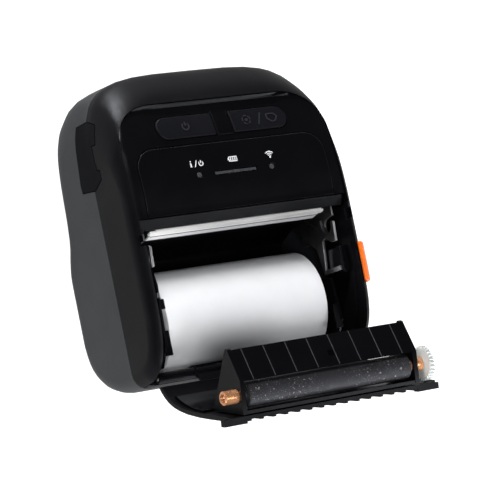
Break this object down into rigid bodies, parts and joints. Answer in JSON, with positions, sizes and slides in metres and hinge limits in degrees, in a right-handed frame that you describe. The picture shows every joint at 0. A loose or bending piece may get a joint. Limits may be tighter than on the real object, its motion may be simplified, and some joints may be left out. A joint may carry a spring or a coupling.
{
  "type": "mobile receipt printer",
  "caption": "Hand-held thermal receipt printer: rounded case, hinged lid with platen roller shown open, drop-in paper roll, tear bar, keys, latch lever, battery and belt clip.",
  "frame": {"origin": "middle of the flat back face the printer lies on", "axes": "+X to the right of the front face, +Y from the lid's hinge end to the button end, +Z out of the front face"},
  "size_m": [0.1122, 0.1577, 0.1098],
  "materials": {
    "case": "fine-textured matte black ABS and polycarbonate",
    "face": "smooth satin black",
    "black": "moulded black plastic",
    "rubber": "soft dark rubber",
    "steel": "pressed and turned steel",
    "brass": "copper-coloured bronze",
    "paper": "white thermal paper",
    "card": "brown core board",
    "nylon": "natural white nylon",
    "orange": "bright orange plastic",
    "board": "green solder mask",
    "lens": "dark light-pipe plastic, unlit"
  },
  "bodies": {
    "case": {"front_shell": "case", "rear_shell": "case", "hinge_block": "case", "exit_guide": "case", "face_cover": "face", "control_panel": "face", "charge_jack": "black", "spring_wall": "black", "head_lip": "black", "lever_housing": "black", "roll_bay": "black", "left_guide": "black", "right_guide": "black", "case_screw_1": "steel", "case_screw_2": "steel", "case_screw_3": "steel", "case_screw_4": "steel", "usb_socket": "steel", "tear_bar": "steel", "thermal_element": "steel", "head_sink": "steel", "head_bracket": "steel", "head_spring_left": "steel", "head_spring_right": "steel", "left_frame": "steel", "right_frame": "steel", "drive_axle": "steel", "transfer_axle": "steel", "feed_motor": "steel", "clip_pin": "steel", "hinge_rod": "steel", "main_board": "board", "power_led": "lens", "link_led": "lens", "battery_light": "lens"},
    "lid": {"lid_cover": "case", "lid_liner": "black", "platen_holder": "black", "left_bush": "brass", "right_bush": "brass"},
    "platen": {"platen_roller": "rubber", "platen_shaft": "steel", "platen_gear": "nylon"},
    "roll": {"paper_roll": "paper", "roll_core": "card"},
    "power_key": {"power_button": "rubber"},
    "feed_key": {"feed_button": "rubber"},
    "latch": {"left_hook": "steel", "right_hook": "steel", "latch_shaft": "steel"},
    "lever": {"release_lever": "orange"},
    "port_flap": {"port_cover": "rubber"},
    "clip": {"belt_clip": "black"},
    "battery": {"battery_pack": "black"},
    "drive_wheel": {"drive_gear": "nylon"},
    "transfer_wheel": {"transfer_gear": "nylon"},
    "pinion": {"motor_pinion": "brass"}
  },
  "joints": [
    {"name": "lid_hinge", "type": "hinge", "parent": "case", "child": "lid", "pos_m": [0, -0.0385, 0.0515], "axis": [1, 0, 0], "range_deg": [-100.5, 0]},
    {"name": "platen_spin", "type": "hinge", "parent": "lid", "child": "platen", "pos_m": [0, -0.05404, 0.10242], "axis": [1, 0, 0], "continuous": true},
    {"name": "roll_spin", "type": "hinge", "parent": "case", "child": "roll", "pos_m": [0, -0.0149, 0.0318], "axis": [1, 0, 0], "continuous": true},
    {"name": "power_press", "type": "slide", "parent": "case", "child": "power_key", "axis": [0, 0, -1], "range_m": [0, 0.0006], "stiffness_N_per_m": 800},
    {"name": "feed_press", "type": "slide", "parent": "case", "child": "feed_key", "axis": [0, 0, -1], "range_m": [0, 0.0006], "stiffness_N_per_m": 800},
    {"name": "latch_turn", "type": "hinge", "parent": "case", "child": "latch", "pos_m": [0, 0.024, 0.029], "axis": [1, 0, 0], "range_deg": [0, 9], "stiffness_Nm_per_rad": 0.4},
    {"name": "lever_slide", "type": "slide", "parent": "case", "child": "lever", "axis": [0, -1, 0], "range_m": [0, 0.004]},
    {"name": "port_open", "type": "hinge", "parent": "case", "child": "port_flap", "pos_m": [-0.0552, 0.0595, 0.031], "axis": [0, -1, 0], "range_deg": [0, 95]},
    {"name": "clip_turn", "type": "hinge", "parent": "case", "child": "clip", "pos_m": [0, 0.069, 0.0038], "axis": [1, 0, 0], "range_deg": [0, 18], "stiffness_Nm_per_rad": 0.5},
    {"name": "battery_slide", "type": "slide", "parent": "case", "child": "battery", "axis": [0, 1, 0], "range_m": [0, 0.045]},
    {"name": "drive_spin", "type": "hinge", "parent": "case", "child": "drive_wheel", "pos_m": [0, 0.02701, 0.03745], "axis": [1, 0, 0], "continuous": true},
    {"name": "transfer_spin", "type": "hinge", "parent": "case", "child": "transfer_wheel", "pos_m": [0, 0.0238, 0.05005], "axis": [1, 0, 0], "continuous": true},
    {"name": "pinion_spin", "type": "hinge", "parent": "case", "child": "pinion", "pos_m": [0, 0.038, 0.038], "axis": [1, 0, 0], "continuous": true}
  ],
  "couplings": [
    {"joint": "lever_slide", "follows": "latch_turn", "m_per_rad": 0.025465},
    {"joint": "transfer_spin", "follows": "drive_spin", "ratio": -1.6},
    {"joint": "pinion_spin", "follows": "drive_spin", "ratio": -2.6667}
  ]
}
